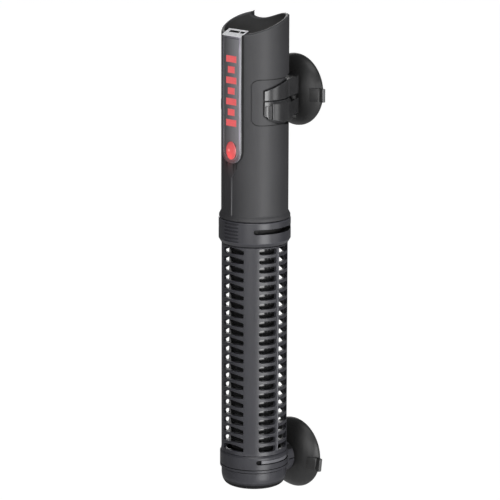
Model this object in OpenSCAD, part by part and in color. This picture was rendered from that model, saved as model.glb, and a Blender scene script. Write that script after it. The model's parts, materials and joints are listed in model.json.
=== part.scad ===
// Submersible aquarium heater: a glass element tube in a slotted guard, a plastic head with an
// indicator bar down its front, and two suction cups that hold the heater upright on a pane.
// Heights are measured up from the underside of the end cap, round the heater's own axis.
// The finished model is then moved so that the origin is the middle of the upper cup's sealing
// face, with +Y pointing into the pane and the indicator bar facing -Y.

/* [Head] */
// Outer radius of the head
head_r = 18.4; // [18.2:0.1:18.6]
// Wall of the head round the cable recess
head_wall = 2; // [1.8:0.1:2.2]
// Height of the head's lower edge
head_z = 152.2; // [152:0.1:153]
// Height of the sloping rim on the heater's axis
rim_z = 259.9; // [259:0.1:261]
// Sideways lean of the rim, in degrees
rim_lean = 2.2; // [0:0.2:3]
// Height of the floor of the cable recess
floor_z = 239; // [237:0.5:240]

/* [Indicator bar] */
// Width of the clear bar
bar_w = 14.6; // [14.4:0.1:14.8]
// Depth of the clear bar, front to back
bar_depth = 6; // [5.6:0.1:6.2]
// Height of the bar's front top edge
bar_top_z = 253.4; // [253:0.2:254.4]
// Height of the lamp window, which is also the middle of the bar's round foot
lamp_z = 191; // [190:0.1:192]
// Width of the inlay between the bar's bright edges
inlay_w = 10.8; // [10:0.1:11]
// Number of red graduation marks on the inlay
mark_count = 7; // [5:1:8]

/* [Guard] */
// Outer radius of the slotted cage
cage_r = 18.15; // [18.1:0.05:18.3]
// Wall of the slotted cage
cage_wall = 1.8; // [1.6:0.1:1.9]
// Number of rows of slots
slot_rows = 23; // [10:1:23]
// Distance from one row of slots to the next
slot_pitch = 5.08; // [4.9:0.01:5.09]
// Height of a slot at its middle
slot_h = 3.6; // [3:0.1:3.7]
// Outer radius of the collar
collar_r = 19.8; // [19.6:0.1:20.2]
// Height of the collar's top edge
collar_top_z = 151.9; // [151.5:0.1:151.9]
// Outer radius of the foot ring
foot_r = 18.95; // [18.9:0.05:19.2]
// Outer radius of the end cap
cap_r = 18.1; // [17.8:0.1:18.2]

/* [Glass tube and heating element] */
// Outer radius of the glass tube
tube_r = 13.5; // [13.3:0.1:13.5]
// Wall of the glass tube
tube_wall = 1.2; // [1:0.1:1.4]
// Turns of resistance wire on the element
coil_turns = 16; // [6:1:18]
// Thickness of the resistance wire
wire_d = 1; // [0.8:0.1:1]

/* [Suction cups] */
// Outer radius of a suction cup
cup_r = 20; // [19:0.5:20.5]
// Distance from the heater's axis to the pane
pane_gap = 33.2; // [33:0.1:34]
// Height of the upper suction cup
upper_cup_z = 218.5; // [218.2:0.1:218.8]
// Height of the lower suction cup
lower_cup_z = 10.5; // [10.2:0.1:11]

/* [Holder] */
// How far round from the front the holder's arms begin, in degrees
arm_start = 60; // [58:1:64]
// Thickness of the fixed arms
arm_wall = 1.7; // [1.5:0.1:1.8]
// How far the release arms stand proud of the fixed arms
release_proud = 1.1; // [0.8:0.1:1.3]

/* [Hidden] */
$fn = 96;
shell_black = [0.2, 0.2, 0.21];
guard_black = [0.26, 0.26, 0.28];
rubber_black = [0.1, 0.1, 0.11];
seal_gap = 0.02; // between a seal and what it grips
run_gap = 0.08; // radial clearance of parts that turn or slide on each other
free_gap = 0.3; // between parts that only pass each other
far = 60;

spigot_r = collar_r - 3.1;
spigot_z = 143.6;
flange_r = 19.55;
flange_h = 1.4;
flare_h = 2.2;
rim_max_z = rim_z + 8;
recess_r = head_r - head_wall;
chamber_r = head_r - 2.2;
upper_chamber_r = 14.4; // narrower, where the holder's pocket is let into the wall
chamber_step_z = 202;
chamber_floor_z = 170;
chamber_roof_z = floor_z - 3;
seal_bore_r = 15.4;
seal_bore_z = 150;
tube_bore_r = tube_r + 0.4;
ridge_w = 1.6;
ridge_top_z = 177;

bar_face_y = -head_r - 0.2;
bar_back_y = bar_face_y + bar_depth;
bar_tip_z = lamp_z - bar_w / 2;
bar_bevel = 0.6;
bezel_wall = 0.4; // of the head's edging round the bar
bezel_y = bar_face_y + 0.5;
cap_slope = 26; // of the bar's top, rising to the back
trough_wall = 1.4;
inlay_depth = 0.7;
inlay_top_z = bar_top_z - 1.3;
lens_w = 7.4;
lens_h = 10;
lamp_hole_r = 2.7;
mark_zone_z = 204.4;
mark_zone_h = 40.6;

pad_front_y = -14.65;
pad_bottom_z = 205.4;
pad_top_z = 230.35;
pad_corner_r = 3.4;
pad_groove_w = 0.5;
pad_groove_depth = 0.3;

pocket_r = 16.7;
arm_r = pocket_r + 0.1;
arm_split_z = 218.5; // middle of the gap between fixed and release arms
arm_split_gap = 0.7;
arm_tip_top_z = 224;
arm_top_z = 228.5;
release_r = arm_r + arm_wall + release_proud;
release_low_z = 206;
release_bevel_z = 216.1;
rib_top_z = 216;
ear_top_z = 207.4;
ear_bottom_z = 205.9;
pivot = [10.2, 18.9];
knuckle_r = 2;
trunnion_r = 1.1;
plate_back_y = 23.7;
plate_half_w = 10.2;
spine_half_w = 7.2;
tail_front = [17.3, 9.2]; // outer face of a release arm's tail, front and back
tail_back = [10.5, 23.4];
tail_t = 1.1; // of the tail where it ends

stem_r = 2.6;
button_r = 3.9;
button_y = 18.4;
button_back_y = 20.3;
button_room_r = 4.4;
button_room_y = 20.5;
cup_boss_y = plate_back_y + free_gap;
cup_hollow = 3.4; // depth of the cup's inside at its middle
tab_w = 7.4;
tab_drop = 0.9; // of the tab's middle below the cup's

cage_low_z = 19.9;
cage_top_z = 138;
tongue_top_z = 143;
tongue_r = 17.5;
sleeve_r = 17;
sleeve_bore_r = 15.2;
sleeve_low_z = 10.4;
collar_low_z = 137.7;
collar_chamfer_z = 140.4;
collar_slot_z = 146.9;
collar_slot_h = 2.7;
collar_slot_start = 43.5;
cage_rib_w = 0.8;
cage_rib_proud = 0.5;
slot_first_z = 23.7;
slot_arch = 1.3; // rise of a front slot's top edge
front_slot_w = 2 * cage_r * sin(25);
side_slot_h = 3.4;
side_slot_y = 11.15; // how far the side slots reach to the front and to the back
side_post_w = 1.6; // of the post between them, which carries the rib
side_post_y = -0.6;

foot_low_z = 10.1;
foot_top_z = 19.6;
foot_line_z = 11.9;
foot_bore_r = sleeve_r + run_gap;
foot_slot_z = 16.3;
foot_slot_h = 2.5;
foot_slot_start = 49;
foot_turn = 8; // play of the ring either way, in degrees
foot_boss_r = 8.8;
cap_top_z = 9.7;
cap_spigot_top_z = 14;
cap_spigot_r = sleeve_bore_r - seal_gap;
cap_wall = 2;

tube_low_z = 16;
tube_top_z = 174;
tube_round_r = 8;
core_r = 6.85;
core_low_z = 30;
core_h = 98;
core_flange_r = tube_r - tube_wall - seal_gap;
core_flange_t = 2.4;
coil_r = 7.6;
coil_steps = 16;
coil_sides = 6;
coil_pitch = (core_h - 2 * core_flange_t - 9) / coil_turns;
coil_low_z = core_low_z + core_flange_t + 4.5;

board_y = -6;
board_t = 1.6;
board_w = 26.6;
board_low_z = 178;
board_h = 50;
sensor_y = -13.4;
sensor_z = 174.6;

gland_x = 0;
gland_y = 2;
cord_bore_r = 3.3;
gland_r = 5.9;
gland_top_z = 250;
gland_low_z = 231;
gland_flange_r = 8.4;
gland_flange_t = 2;
gland_nut_h = 3.4;

// A point on a cubic curve at t, and n + 1 points along it
function on_curve(p, t) = pow(1 - t, 3) * p[0] + 3 * t * pow(1 - t, 2) * p[1]
    + 3 * t * t * (1 - t) * p[2] + pow(t, 3) * p[3];
function curve(p, n) = [for (i = [0:n]) on_curve(p, i / n)];

// Moves the heater's own frame to the model's frame
module in_place() translate([0, -pane_gap, -upper_cup_z]) children();

// A cylinder with a hole, from z to z + h
module tube_between(r_in, r_out, z, h) translate([0, 0, z]) difference() {
    cylinder(r = r_out, h = h);
    translate([0, 0, -1]) cylinder(r = r_in, h = h + 2);
}

// A sector of a ring, from angle a0 to a1 counted round from the front towards +X
module ring_sector(r_in, r_out, z, h, a0, a1)
    rotate_extrude(angle = a1 - a0, start = a0 - 90) translate([r_in, z]) square([r_out - r_in, h]);

// A slot through the wall, along the circumference, with round ends
module round_slot(r_in, r_out, z, h, a0, a1) {
    end = asin(h / 2 / r_out);
    ring_sector(r_in, r_out, z - h / 2, h, a0 + end, a1 - end);
    for (a = [a0 + end, a1 - end])
        rotate([0, 0, a - 90]) translate([r_in, 0, z]) rotate([0, 90, 0])
            cylinder(r = h / 2, h = r_out - r_in, $fn = 32);
}

// A flat outline in X and Z, made a slab from y0 to y1
module slab_xz(y0, y1) translate([0, y1, 0]) rotate([90, 0, 0]) linear_extrude(y1 - y0) children();

// A flat outline in Y and Z, made a slab right across X
module slab_yz() rotate([90, 0, 90]) translate([0, 0, -far / 2]) linear_extrude(far) children();

// ---- Head ----

module head_outside() {
    rotate_extrude() polygon([[0, spigot_z], [spigot_r, spigot_z], [spigot_r, head_z],
        [flange_r - 0.3, head_z], [flange_r, head_z + 0.3], [flange_r, head_z + flange_h],
        [head_r, head_z + flange_h + flare_h], [head_r, rim_max_z], [0, rim_max_z]]);
    // ridge below the bar, widening to a pointed seat for the bar's foot
    intersection() {
        tube_between(head_r - 1, head_r + 0.55, head_z + 2, bar_tip_z - head_z + 4);
        slab_xz(-far / 2, 0) {
            translate([-ridge_w / 2, head_z + 2.4]) square([ridge_w, ridge_top_z - head_z]);
            polygon([[-ridge_w / 2, ridge_top_z - 1], [ridge_w / 2, ridge_top_z - 1], [3.6, 181],
                [4.6, bar_tip_z + 3], [-4.6, bar_tip_z + 3], [-3.6, 181]]);
        }
    }
}

// Rounded outline round the holder's arms, grown outwards by grow
module pad_outline(grow) {
    back_y = head_r + 4;
    centre_y = pad_front_y + pad_corner_r;
    r = pad_corner_r + grow;
    translate([centre_y - r, pad_bottom_z + pad_corner_r])
        square([back_y - centre_y + r, pad_top_z - pad_bottom_z - 2 * pad_corner_r]);
    translate([centre_y, pad_bottom_z - grow])
        square([back_y - centre_y, pad_top_z - pad_bottom_z + 2 * grow]);
    for (z = [pad_bottom_z + pad_corner_r, pad_top_z - pad_corner_r])
        translate([centre_y, z]) circle(r = r);
}

module pad_groove() difference() {
    intersection() {
        tube_between(head_r - pad_groove_depth, far, pad_bottom_z - 2, pad_top_z - pad_bottom_z + 4);
        slab_yz() pad_outline(pad_groove_w / 2);
    }
    slab_yz() pad_outline(-pad_groove_w / 2);
}

module head_inside() {
    translate([0, 0, spigot_z - 1]) cylinder(r = tube_bore_r, h = far);
    translate([0, 0, seal_bore_z]) cylinder(r = seal_bore_r, h = far / 2);
    translate([0, 0, chamber_floor_z]) cylinder(r = chamber_r, h = chamber_step_z - chamber_floor_z);
    translate([0, 0, chamber_step_z - 1])
        cylinder(r = upper_chamber_r, h = chamber_roof_z - chamber_step_z + 1);
    translate([0, 0, floor_z]) cylinder(r = recess_r, h = far);
    // grooves that hold the circuit board by its edges
    translate([-board_w / 2, board_y, chamber_floor_z] - seal_gap * [1, 1, 0])
        cube([board_w, board_t, board_low_z + board_h - chamber_floor_z] + seal_gap * [2, 2, 1]);
}

module bar_outline(w, top) {
    translate([0, lamp_z]) circle(r = w / 2);
    translate([-w / 2, lamp_z]) square([w, top - lamp_z]);
}

// Walls that close the head behind the clear bar, and the edging round it
module bar_trough() {
    intersection() {
        slab_xz(-far / 2, bar_back_y + trough_wall) bar_outline(bar_w + 2 * trough_wall, 251);
        translate([0, 0, bar_tip_z - 4]) cylinder(r = head_r, h = far * 2);
    }
    slab_xz(bezel_y, bar_face_y + 3) bar_outline(bar_w + 2 * bezel_wall, far * 5);
}

// The holder's arms lie in this pocket, which fans out towards the pane
module arm_pocket() intersection() {
    tube_between(pocket_r, far, ear_bottom_z - 2, arm_top_z - ear_bottom_z + 6);
    slab_yz() polygon([[-9.9, 210.4], [-9.9, 224.9], [-5.4, 226.5], [0.9, 228.4], [6.9, 230.6],
        [9.3, 231.8], [far, 232], [far, 204], [9.4, 204], [-2.6, 205.9], [-7.4, 208]]);
}

// Everything above the sloping rim, and the sweep at the back where the cable leaves
module rim_cut() {
    translate([0, 0, rim_z]) rotate([0, -rim_lean, 0]) translate([0, 0, -rim_z]) slab_yz() polygon(concat(
        [[-far / 2, rim_z + far], [-far / 2, rim_z - 5.9]],
        curve([[-19, rim_z - 5.9], [-11.5, rim_z - 5.6], [4.5, rim_z + 3.5], [19, rim_z + 4.1]], 12),
        [[far / 2, rim_z + 4.3], [far / 2, rim_z + far]]));
    slab_xz(0, far / 2) polygon(concat(
        curve([[-12.4, rim_z + 3.3], [-14.7, rim_z], [-10.8, rim_z - 1.1], [-7.7, rim_z - 0.75]], 10),
        curve([[-7.7, rim_z - 0.75], [-3.8, rim_z - 0.15], [1.5, rim_z + 2.8], [7.5, rim_z + 3.4]], 8),
        [[18, rim_z + 4], [18, rim_z + 9], [-12.4, rim_z + 9]]));
}

// Hollow behind each collar slot, leaving a lug at the slot's front end
module lug_relief(side) mirror([side, 0, 0])
    ring_sector(spigot_r - 1.6, spigot_r + 1, collar_slot_z - 1.9, 3.8, 50, 137);

module head_housing() color(shell_black) in_place() difference() {
    union() {
        difference() {
            head_outside();
            head_inside();
        }
        bar_trough();
    }
    slab_xz(-far / 2, bar_back_y) bar_outline(bar_w + 2 * seal_gap, far * 5);
    arm_pocket();
    pad_groove();
    rim_cut();
    for (side = [0, 1]) lug_relief(side);
    translate([gland_x, gland_y, chamber_roof_z - 1]) cylinder(r = gland_r + seal_gap, h = 6);
    translate([0, 0, lamp_z]) rotate([90, 0, 0]) cylinder(r = lamp_hole_r, h = far / 2);
}

// ---- Indicator bar ----

module light_bar() color([0.85, 0.86, 0.92, 0.5]) in_place() difference() {
    intersection() {
        slab_xz(bar_face_y, bar_back_y - seal_gap) bar_outline(bar_w, far * 5);
        translate([0, 0, bar_tip_z - 1]) linear_extrude(far * 2) polygon([
            [-bar_w / 2, bar_back_y], [-bar_w / 2, bar_face_y + bar_bevel],
            [-bar_w / 2 + bar_bevel, bar_face_y], [bar_w / 2 - bar_bevel, bar_face_y],
            [bar_w / 2, bar_face_y + bar_bevel], [bar_w / 2, bar_back_y]]);
    }
    translate([-far / 2, bar_face_y, bar_top_z]) rotate([cap_slope, 0, 0])
        translate([0, -far / 2, 0]) cube(far);
    slab_xz(bar_face_y - 1, bar_face_y + inlay_depth) bar_outline(inlay_w, inlay_top_z);
    slab_xz(-far / 2, 0) lens_outline(seal_gap);
    // long and short sink marks in the sloping top
    for (mark = [[-4.9, 7.2], [3.1, 3]]) translate([mark[0], bar_face_y, bar_top_z])
        rotate([cap_slope, 0, 0]) translate([0, 3.5, -0.5]) cube([mark[1], 1.8, 1]);
}

module lens_outline(grow) {
    r = lens_w / 2 + grow;
    for (z = [-1, 1]) translate([0, lamp_z + z * (lens_h - lens_w) / 2]) circle(r = r);
    translate([-r, lamp_z - (lens_h - lens_w) / 2]) square([2 * r, lens_h - lens_w]);
}

module bar_inlay() color([0.36, 0.36, 0.38]) in_place() difference() {
    slab_xz(bar_face_y + 0.1, bar_face_y + inlay_depth)
        bar_outline(inlay_w - 4 * seal_gap, inlay_top_z - seal_gap);
    slab_xz(-far / 2, 0) lens_outline(seal_gap);
}

// Plain graduation marks, long and short by turns
module scale_marks() color([0.82, 0.24, 0.26]) in_place() {
    pitch = mark_zone_h / mark_count;
    for (i = [0:mark_count - 1]) {
        w = i % 2 == 0 ? 7.5 : 5;
        slab_xz(bar_face_y, bar_face_y + 0.1)
            translate([-w / 2, mark_zone_z + i * pitch]) square([w, pitch * 0.62]);
    }
}

module lamp_lens() color([0.9, 0.25, 0.25]) in_place() {
    slab_xz(bar_face_y - 0.1, bar_back_y - 0.6) lens_outline(0);
    slab_xz(bar_face_y - 0.45, bar_face_y - 0.05) lens_outline(-0.5);
}

module lamp() color([0.85, 0.2, 0.2]) in_place()
    translate([0, board_y, lamp_z]) rotate([90, 0, 0]) {
        cylinder(r = 2.9, h = 1, $fn = 48);
        cylinder(r = 2.5, h = 5.4, $fn = 48);
    }

// ---- Cable entry ----

module cable_gland() color(rubber_black) in_place() translate([gland_x, gland_y, 0])
    rotate_extrude() polygon([[cord_bore_r, gland_low_z], [gland_r, gland_low_z],
        [gland_r, floor_z], [gland_flange_r, floor_z], [gland_flange_r, floor_z + gland_flange_t],
        [gland_r, floor_z + gland_flange_t], [gland_r - 1.2, gland_top_z - 0.6],
        [gland_r - 1.7, gland_top_z], [cord_bore_r, gland_top_z]]);

module gland_nut() color([0.55, 0.55, 0.57]) in_place()
    translate([gland_x, gland_y, chamber_roof_z - gland_nut_h]) difference() {
        cylinder(r = 8.6, h = gland_nut_h, $fn = 6);
        translate([0, 0, -1]) cylinder(r = gland_r + seal_gap, h = far);
    }

// ---- Electronics ----

module control_board() color([0.1, 0.35, 0.2]) in_place() difference() {
    translate([-board_w / 2, board_y, board_low_z]) cube([board_w, board_t, board_h]);
    for (x = [-10, 10], z = [board_low_z + 2.5, board_low_z + board_h - 2.5])
        translate([x, 0, z]) rotate([90, 0, 0]) cylinder(r = 1.1, h = far, center = true, $fn = 24);
}

module board_components() color([0.75, 0.6, 0.15]) in_place() {
    back = board_y + board_t;
    // relay, film capacitor and regulator on the back of the board
    translate([-7.5, back, 180]) cube([15, 10.5, 18]);
    translate([-9.5, back, 201]) cube([9, 6.5, 13]);
    translate([5, back + 4.2, 201]) cylinder(r = 4, h = 12, $fn = 48);
    translate([-5, back, 217]) cube([10, 4.4, 8]);
    // resistors on the front
    for (z = [200, 204, 208]) translate([-4.5, board_y - 1.2, z]) rotate([0, 90, 0])
        cylinder(r = 1.2, h = 9, $fn = 24);
}

module terminal_block() color([0.2, 0.45, 0.3]) in_place() difference() {
    translate([-8, board_y - 4.4, 217]) cube([16, 4.4, 9]);
    for (x = [-5, 0, 5]) translate([x, board_y - 2.3, 221]) cylinder(r = 1.3, h = far, $fn = 24);
}

module temperature_sensor() color([0.15, 0.15, 0.16]) in_place() {
    translate([0, sensor_y, sensor_z]) cylinder(r = 1.6, h = 4.2, $fn = 32);
    for (x = [-0.7, 0.7]) {
        translate([x, sensor_y, sensor_z + 4.2]) cylinder(r = 0.3, h = 2, $fn = 16);
        translate([x, board_y, sensor_z + 5.9]) rotate([90, 0, 0])
            cylinder(r = 0.3, h = board_y - sensor_y + 0.2, $fn = 16);
    }
}

// ---- Tube and element ----

module tube_seal() color(rubber_black) in_place()
    tube_between(tube_r + seal_gap, seal_bore_r - seal_gap, 152.2, 14);

module seal_clamp_ring() color([0.6, 0.6, 0.62]) in_place() rotate_extrude()
    polygon([[tube_r + 0.2, 166.3], [seal_bore_r - 0.05, 166.3], [seal_bore_r - 0.05, chamber_floor_z],
        [chamber_r - 0.1, chamber_floor_z], [chamber_r - 0.1, chamber_floor_z + 1.6],
        [tube_r + 0.2, chamber_floor_z + 1.6]]);

module o_ring() color(rubber_black) in_place()
    rotate_extrude() translate([(tube_r + seal_bore_r) / 2, 151.1]) circle(r = 0.9, $fn = 32);

// The round-ended space inside a tube whose wall is grown outwards by grow
module tube_space(grow) rotate_extrude() {
    corner = tube_r - tube_round_r;
    r = tube_round_r + grow;
    polygon(concat([[0, tube_low_z - grow]],
        [for (a = [-90:15:0]) [corner + r * cos(a), tube_low_z + tube_round_r + r * sin(a)]],
        [[corner + r, tube_top_z + 1], [0, tube_top_z + 1]]));
}

module glass_tube() color([0.13, 0.13, 0.15]) in_place() difference() {
    tube_space(0);
    tube_space(-tube_wall);
    translate([0, 0, tube_top_z]) cylinder(r = far, h = far);
}

module element_core() color([0.9, 0.88, 0.82]) in_place() translate([0, 0, core_low_z])
    rotate_extrude() polygon([[0, 0], [core_flange_r, 0], [core_flange_r, core_flange_t],
        [core_r, core_flange_t], [core_r, core_h - core_flange_t],
        [core_flange_r, core_h - core_flange_t], [core_flange_r, core_h], [0, core_h]]);

// Centre and axes of the wire's section at step i of the winding
function coil_centre(i) = let (a = 360 * i / coil_steps)
    [coil_r * cos(a), coil_r * sin(a), coil_low_z + coil_pitch * i / coil_steps];
function coil_ring(i) = let (a = 360 * i / coil_steps, rise = coil_pitch / 360 * 180 / PI / coil_r,
        out = [cos(a), sin(a), 0], up = [rise * sin(a), -rise * cos(a), 1] / sqrt(1 + rise * rise))
    [for (k = [0:coil_sides - 1]) let (b = 360 * k / coil_sides)
        coil_centre(i) + wire_d / 2 * (cos(b) * out + sin(b) * up)];

module heating_coil() color([0.7, 0.68, 0.64]) in_place() {
    steps = coil_turns * coil_steps;
    points = [for (i = [0:steps]) each coil_ring(i)];
    sides = [for (i = [0:steps - 1], k = [0:coil_sides - 1])
        let (a = i * coil_sides + k, b = i * coil_sides + (k + 1) % coil_sides)
        each [[a, b, b + coil_sides], [a, b + coil_sides, a + coil_sides]]];
    first = [for (k = [1:coil_sides - 2]) [0, k + 1, k]];
    last = [for (k = [1:coil_sides - 2]) [0, k, k + 1] + steps * coil_sides * [1, 1, 1]];
    echo("least gap between turns", min([for (i = [coil_steps / 2:coil_steps * 3 / 2])
        norm(coil_centre(i) - coil_centre(0)) - wire_d]));
    polyhedron(points = points, faces = concat(sides, first, last));
}

module lead_wires() color([0.75, 0.2, 0.15]) in_place() {
    translate([-3.5, 4, core_low_z + core_h]) cylinder(r = 0.9, h = 51, $fn = 24);
    translate([3.5, 4, core_low_z + core_h]) cylinder(r = 0.9, h = 20, $fn = 24);
    translate([3.5, 4, core_low_z + core_h + 30]) cylinder(r = 0.9, h = 21, $fn = 24);
}

module thermal_fuse() color([0.8, 0.8, 0.82]) in_place()
    translate([3.5, 4, core_low_z + core_h + 20]) cylinder(r = 2, h = 10, $fn = 32);

// ---- Holder ----

// Outline in X and Y of the block between the head and the back plate
module saddle_outline() polygon([[-plate_half_w, plate_back_y], [plate_half_w, plate_back_y],
    [12.5, 19.5], [15.2, 10.6], [-15.2, 10.6], [-12.5, 19.5]]);

module upper_bracket() color(shell_black) in_place() difference() {
    union() {
        // fixed arms, and the block that carries them
        intersection() {
            union() {
                translate([0, 0, arm_split_z + arm_split_gap / 2])
                    linear_extrude(arm_top_z - arm_split_z - arm_split_gap / 2) saddle_outline();
                ring_sector(arm_r, arm_r + arm_wall, arm_split_z + arm_split_gap / 2,
                    arm_top_z - arm_split_z, arm_start, 360 - arm_start);
            }
            slab_yz() polygon([[-far / 4, 200], [-far / 4, 222.3], [-9.3, arm_tip_top_z], [0.8, 227],
                [8.7, arm_top_z], [far / 2, arm_top_z], [far / 2, 200]]);
        }
        // spine between the release arms
        translate([-spine_half_w, arm_r - 2, ear_bottom_z])
            cube([2 * spine_half_w, plate_back_y - arm_r + 2, arm_split_z - ear_bottom_z + 1]);
        // floor under the release arms
        translate([0, 0, ear_bottom_z]) linear_extrude(ear_top_z - ear_bottom_z) polygon([
            [-plate_half_w, plate_back_y], [plate_half_w, plate_back_y], [12.8, pivot[1]],
            [pivot[0] + 1, arm_r], [-pivot[0] - 1, arm_r], [-12.8, pivot[1]]]);
    }
    translate([0, 0, ear_bottom_z - 1]) cylinder(r = arm_r, h = far / 2);
    for (side = [-1, 1]) {
        translate([side * pivot[0], pivot[1], ear_top_z])
            cylinder(r = knuckle_r + free_gap, h = arm_split_z + arm_split_gap / 2 - ear_top_z);
        translate([side * pivot[0], pivot[1], ear_bottom_z - 1])
            cylinder(r = trunnion_r + run_gap, h = arm_split_z + 4.4 - ear_bottom_z, $fn = 48);
    }
    button_room(upper_cup_z, arm_r - 3);
}

// Room for a suction cup's stem and button, open on the heater's side
module button_room(z, front_y) {
    translate([0, front_y, z]) rotate([-90, 0, 0]) cylinder(r = button_room_r, h = button_room_y - front_y);
    translate([0, front_y, z]) rotate([-90, 0, 0]) cylinder(r = stem_r + run_gap, h = far / 2);
}

// Arm with a ribbed finger tip, swinging on its two trunnions
module release_arm() {
    top = arm_split_z - arm_split_gap / 2;
    bevel = atan(release_proud / (top - release_bevel_z));
    run = tail_back - tail_front;
    intersection() {
        union() {
            ring_sector(arm_r + 0.05, arm_r + arm_wall, release_low_z, top - release_low_z, arm_start, 150);
            // proud part, with its top edge bevelled
            rotate_extrude(angle = 136 - arm_start, start = arm_start + 14 - 90) polygon([
                [arm_r + 0.05, release_low_z], [release_r, release_low_z], [release_r, release_bevel_z],
                [release_r - release_proud, top], [arm_r + 0.05, top]]);
            for (a = [[1.8, 6.2], [9.3, 12.2]]) ring_sector(arm_r + 0.05, release_r - 0.2,
                release_low_z, rib_top_z - release_low_z, arm_start + a[0], arm_start + a[1]);
            // straight tail past the pivot
            difference() {
                translate([0, 0, release_low_z]) linear_extrude(top - release_low_z) polygon([
                    tail_front, tail_back, tail_back - [tail_t, 0], pivot - [0.8, 0], [12.6, 13]]);
                translate([tail_front[0], tail_front[1], release_bevel_z])
                    rotate([0, 0, atan2(run[1], run[0])]) rotate([-90 + bevel, 0, 0])
                    translate([-far / 2, -far, 0]) cube([far, 2 * far, far]);
            }
        }
        slab_yz() polygon([[-far / 4, 213.6], [-9.3, 210.7], [-6.4, 208.5], [2.4, 206.7],
            [9, release_low_z], [14, release_low_z], [14, ear_top_z + free_gap],
            [far / 2, ear_top_z + free_gap], [far / 2, top], [-far / 4, top]]);
    }
    translate([pivot[0], pivot[1], ear_top_z + free_gap])
        cylinder(r = knuckle_r, h = top - ear_top_z - free_gap);
    translate([pivot[0], pivot[1], ear_bottom_z + 0.2])
        cylinder(r = trunnion_r, h = arm_split_z + 2.9 - ear_bottom_z, $fn = 48);
}

module right_release_arm() color(shell_black) in_place() release_arm();
module left_release_arm() color(shell_black) in_place() mirror([1, 0, 0]) release_arm();

// ---- Suction cups ----

// A cup turned on its stem, so that its tab points out and down by turn degrees
module suction_cup(z, turn) color(rubber_black) in_place() translate([0, 0, z]) rotate([0, turn, 0]) {
    rotate([-90, 0, 0]) rotate_extrude() polygon(concat(
        [[0, button_y], [button_r - 0.8, button_y], [button_r, button_y + 0.8],
            [button_r, button_back_y - 0.4], [stem_r, button_back_y], [stem_r, cup_boss_y],
            [6.2, cup_boss_y]],
        curve([[6.8, cup_boss_y + 0.7], [12, 25.4], [cup_r - 1.8, pane_gap - 5.3],
            [cup_r, pane_gap - 1]], 12),
        [[cup_r, pane_gap - 0.3], [cup_r - 0.4, pane_gap]],
        curve([[cup_r - 1.6, pane_gap], [14.5, pane_gap - 2.3], [7, pane_gap - cup_hollow],
            [0, pane_gap - cup_hollow]], 10)));
    // pull tab, rising out of the dome and reaching past its edge
    translate([cup_r, pane_gap, -tab_w / 2 - tab_drop]) linear_extrude(tab_w) polygon([[-3.8, -4.6],
        [-2.6, -5.1], [2.4, -3.4], [2.8, -2.9], [2.7, -1.7], [-0.5, -1.2], [-1.5, -2.2]]);
}

module upper_cup() suction_cup(upper_cup_z, 0);
module lower_cup() suction_cup(lower_cup_z, 6);

// ---- Guard ----

module guard_collar() color(guard_black) in_place() difference() {
    union() {
        rotate_extrude() polygon([[tongue_r + seal_gap, collar_low_z], [cage_r, collar_low_z],
            [collar_r, collar_chamfer_z], [collar_r, collar_top_z - 0.4], [collar_r - 0.4, collar_top_z],
            [spigot_r + run_gap, collar_top_z], [spigot_r + run_gap, tongue_top_z + 0.1],
            [tongue_r + seal_gap, tongue_top_z + 0.1]]);
        // short grip ribs on the front
        for (i = [0:4]) ring_sector(collar_r - 1, collar_r + 0.3, 141.6 + 1.95 * i, 0.8, -12, 17);
    }
    for (side = [0, 1]) mirror([side, 0, 0])
        round_slot(spigot_r - 1, far / 2, collar_slot_z, collar_slot_h,
            collar_slot_start, 180 - collar_slot_start);
}

// Slot outline w wide and h high with rounded lower corners, its top edge arched by rise
module arched_slot(w, h, rise) {
    end_r = 0.7;
    arch_r = (w * w / 4 + rise * rise) / (2 * rise);
    intersection() {
        translate([0, h / 2 - arch_r]) circle(r = arch_r, $fn = 200);
        union() {
            translate([-w / 2, end_r - h / 2]) square([w, h]);
            translate([-w / 2 + end_r, -h / 2]) square([w - 2 * end_r, h]);
            for (side = [-1, 1]) translate([side * (w / 2 - end_r), end_r - h / 2])
                circle(r = end_r, $fn = 24);
        }
    }
}

// Slot outline from x0 to x1, h high, with rounded corners
module rounded_slot(x0, x1, h) {
    end_r = 1.3;
    translate([x0 + end_r, -h / 2]) square([x1 - x0 - 2 * end_r, h]);
    translate([x0, end_r - h / 2]) square([x1 - x0, h - 2 * end_r]);
    for (x = [x0 + end_r, x1 - end_r], y = [end_r - h / 2, h / 2 - end_r])
        translate([x, y]) circle(r = end_r, $fn = 24);
}

module slot_rows() for (i = [0:slot_rows - 1]) translate([0, slot_first_z + i * slot_pitch]) children();

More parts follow.
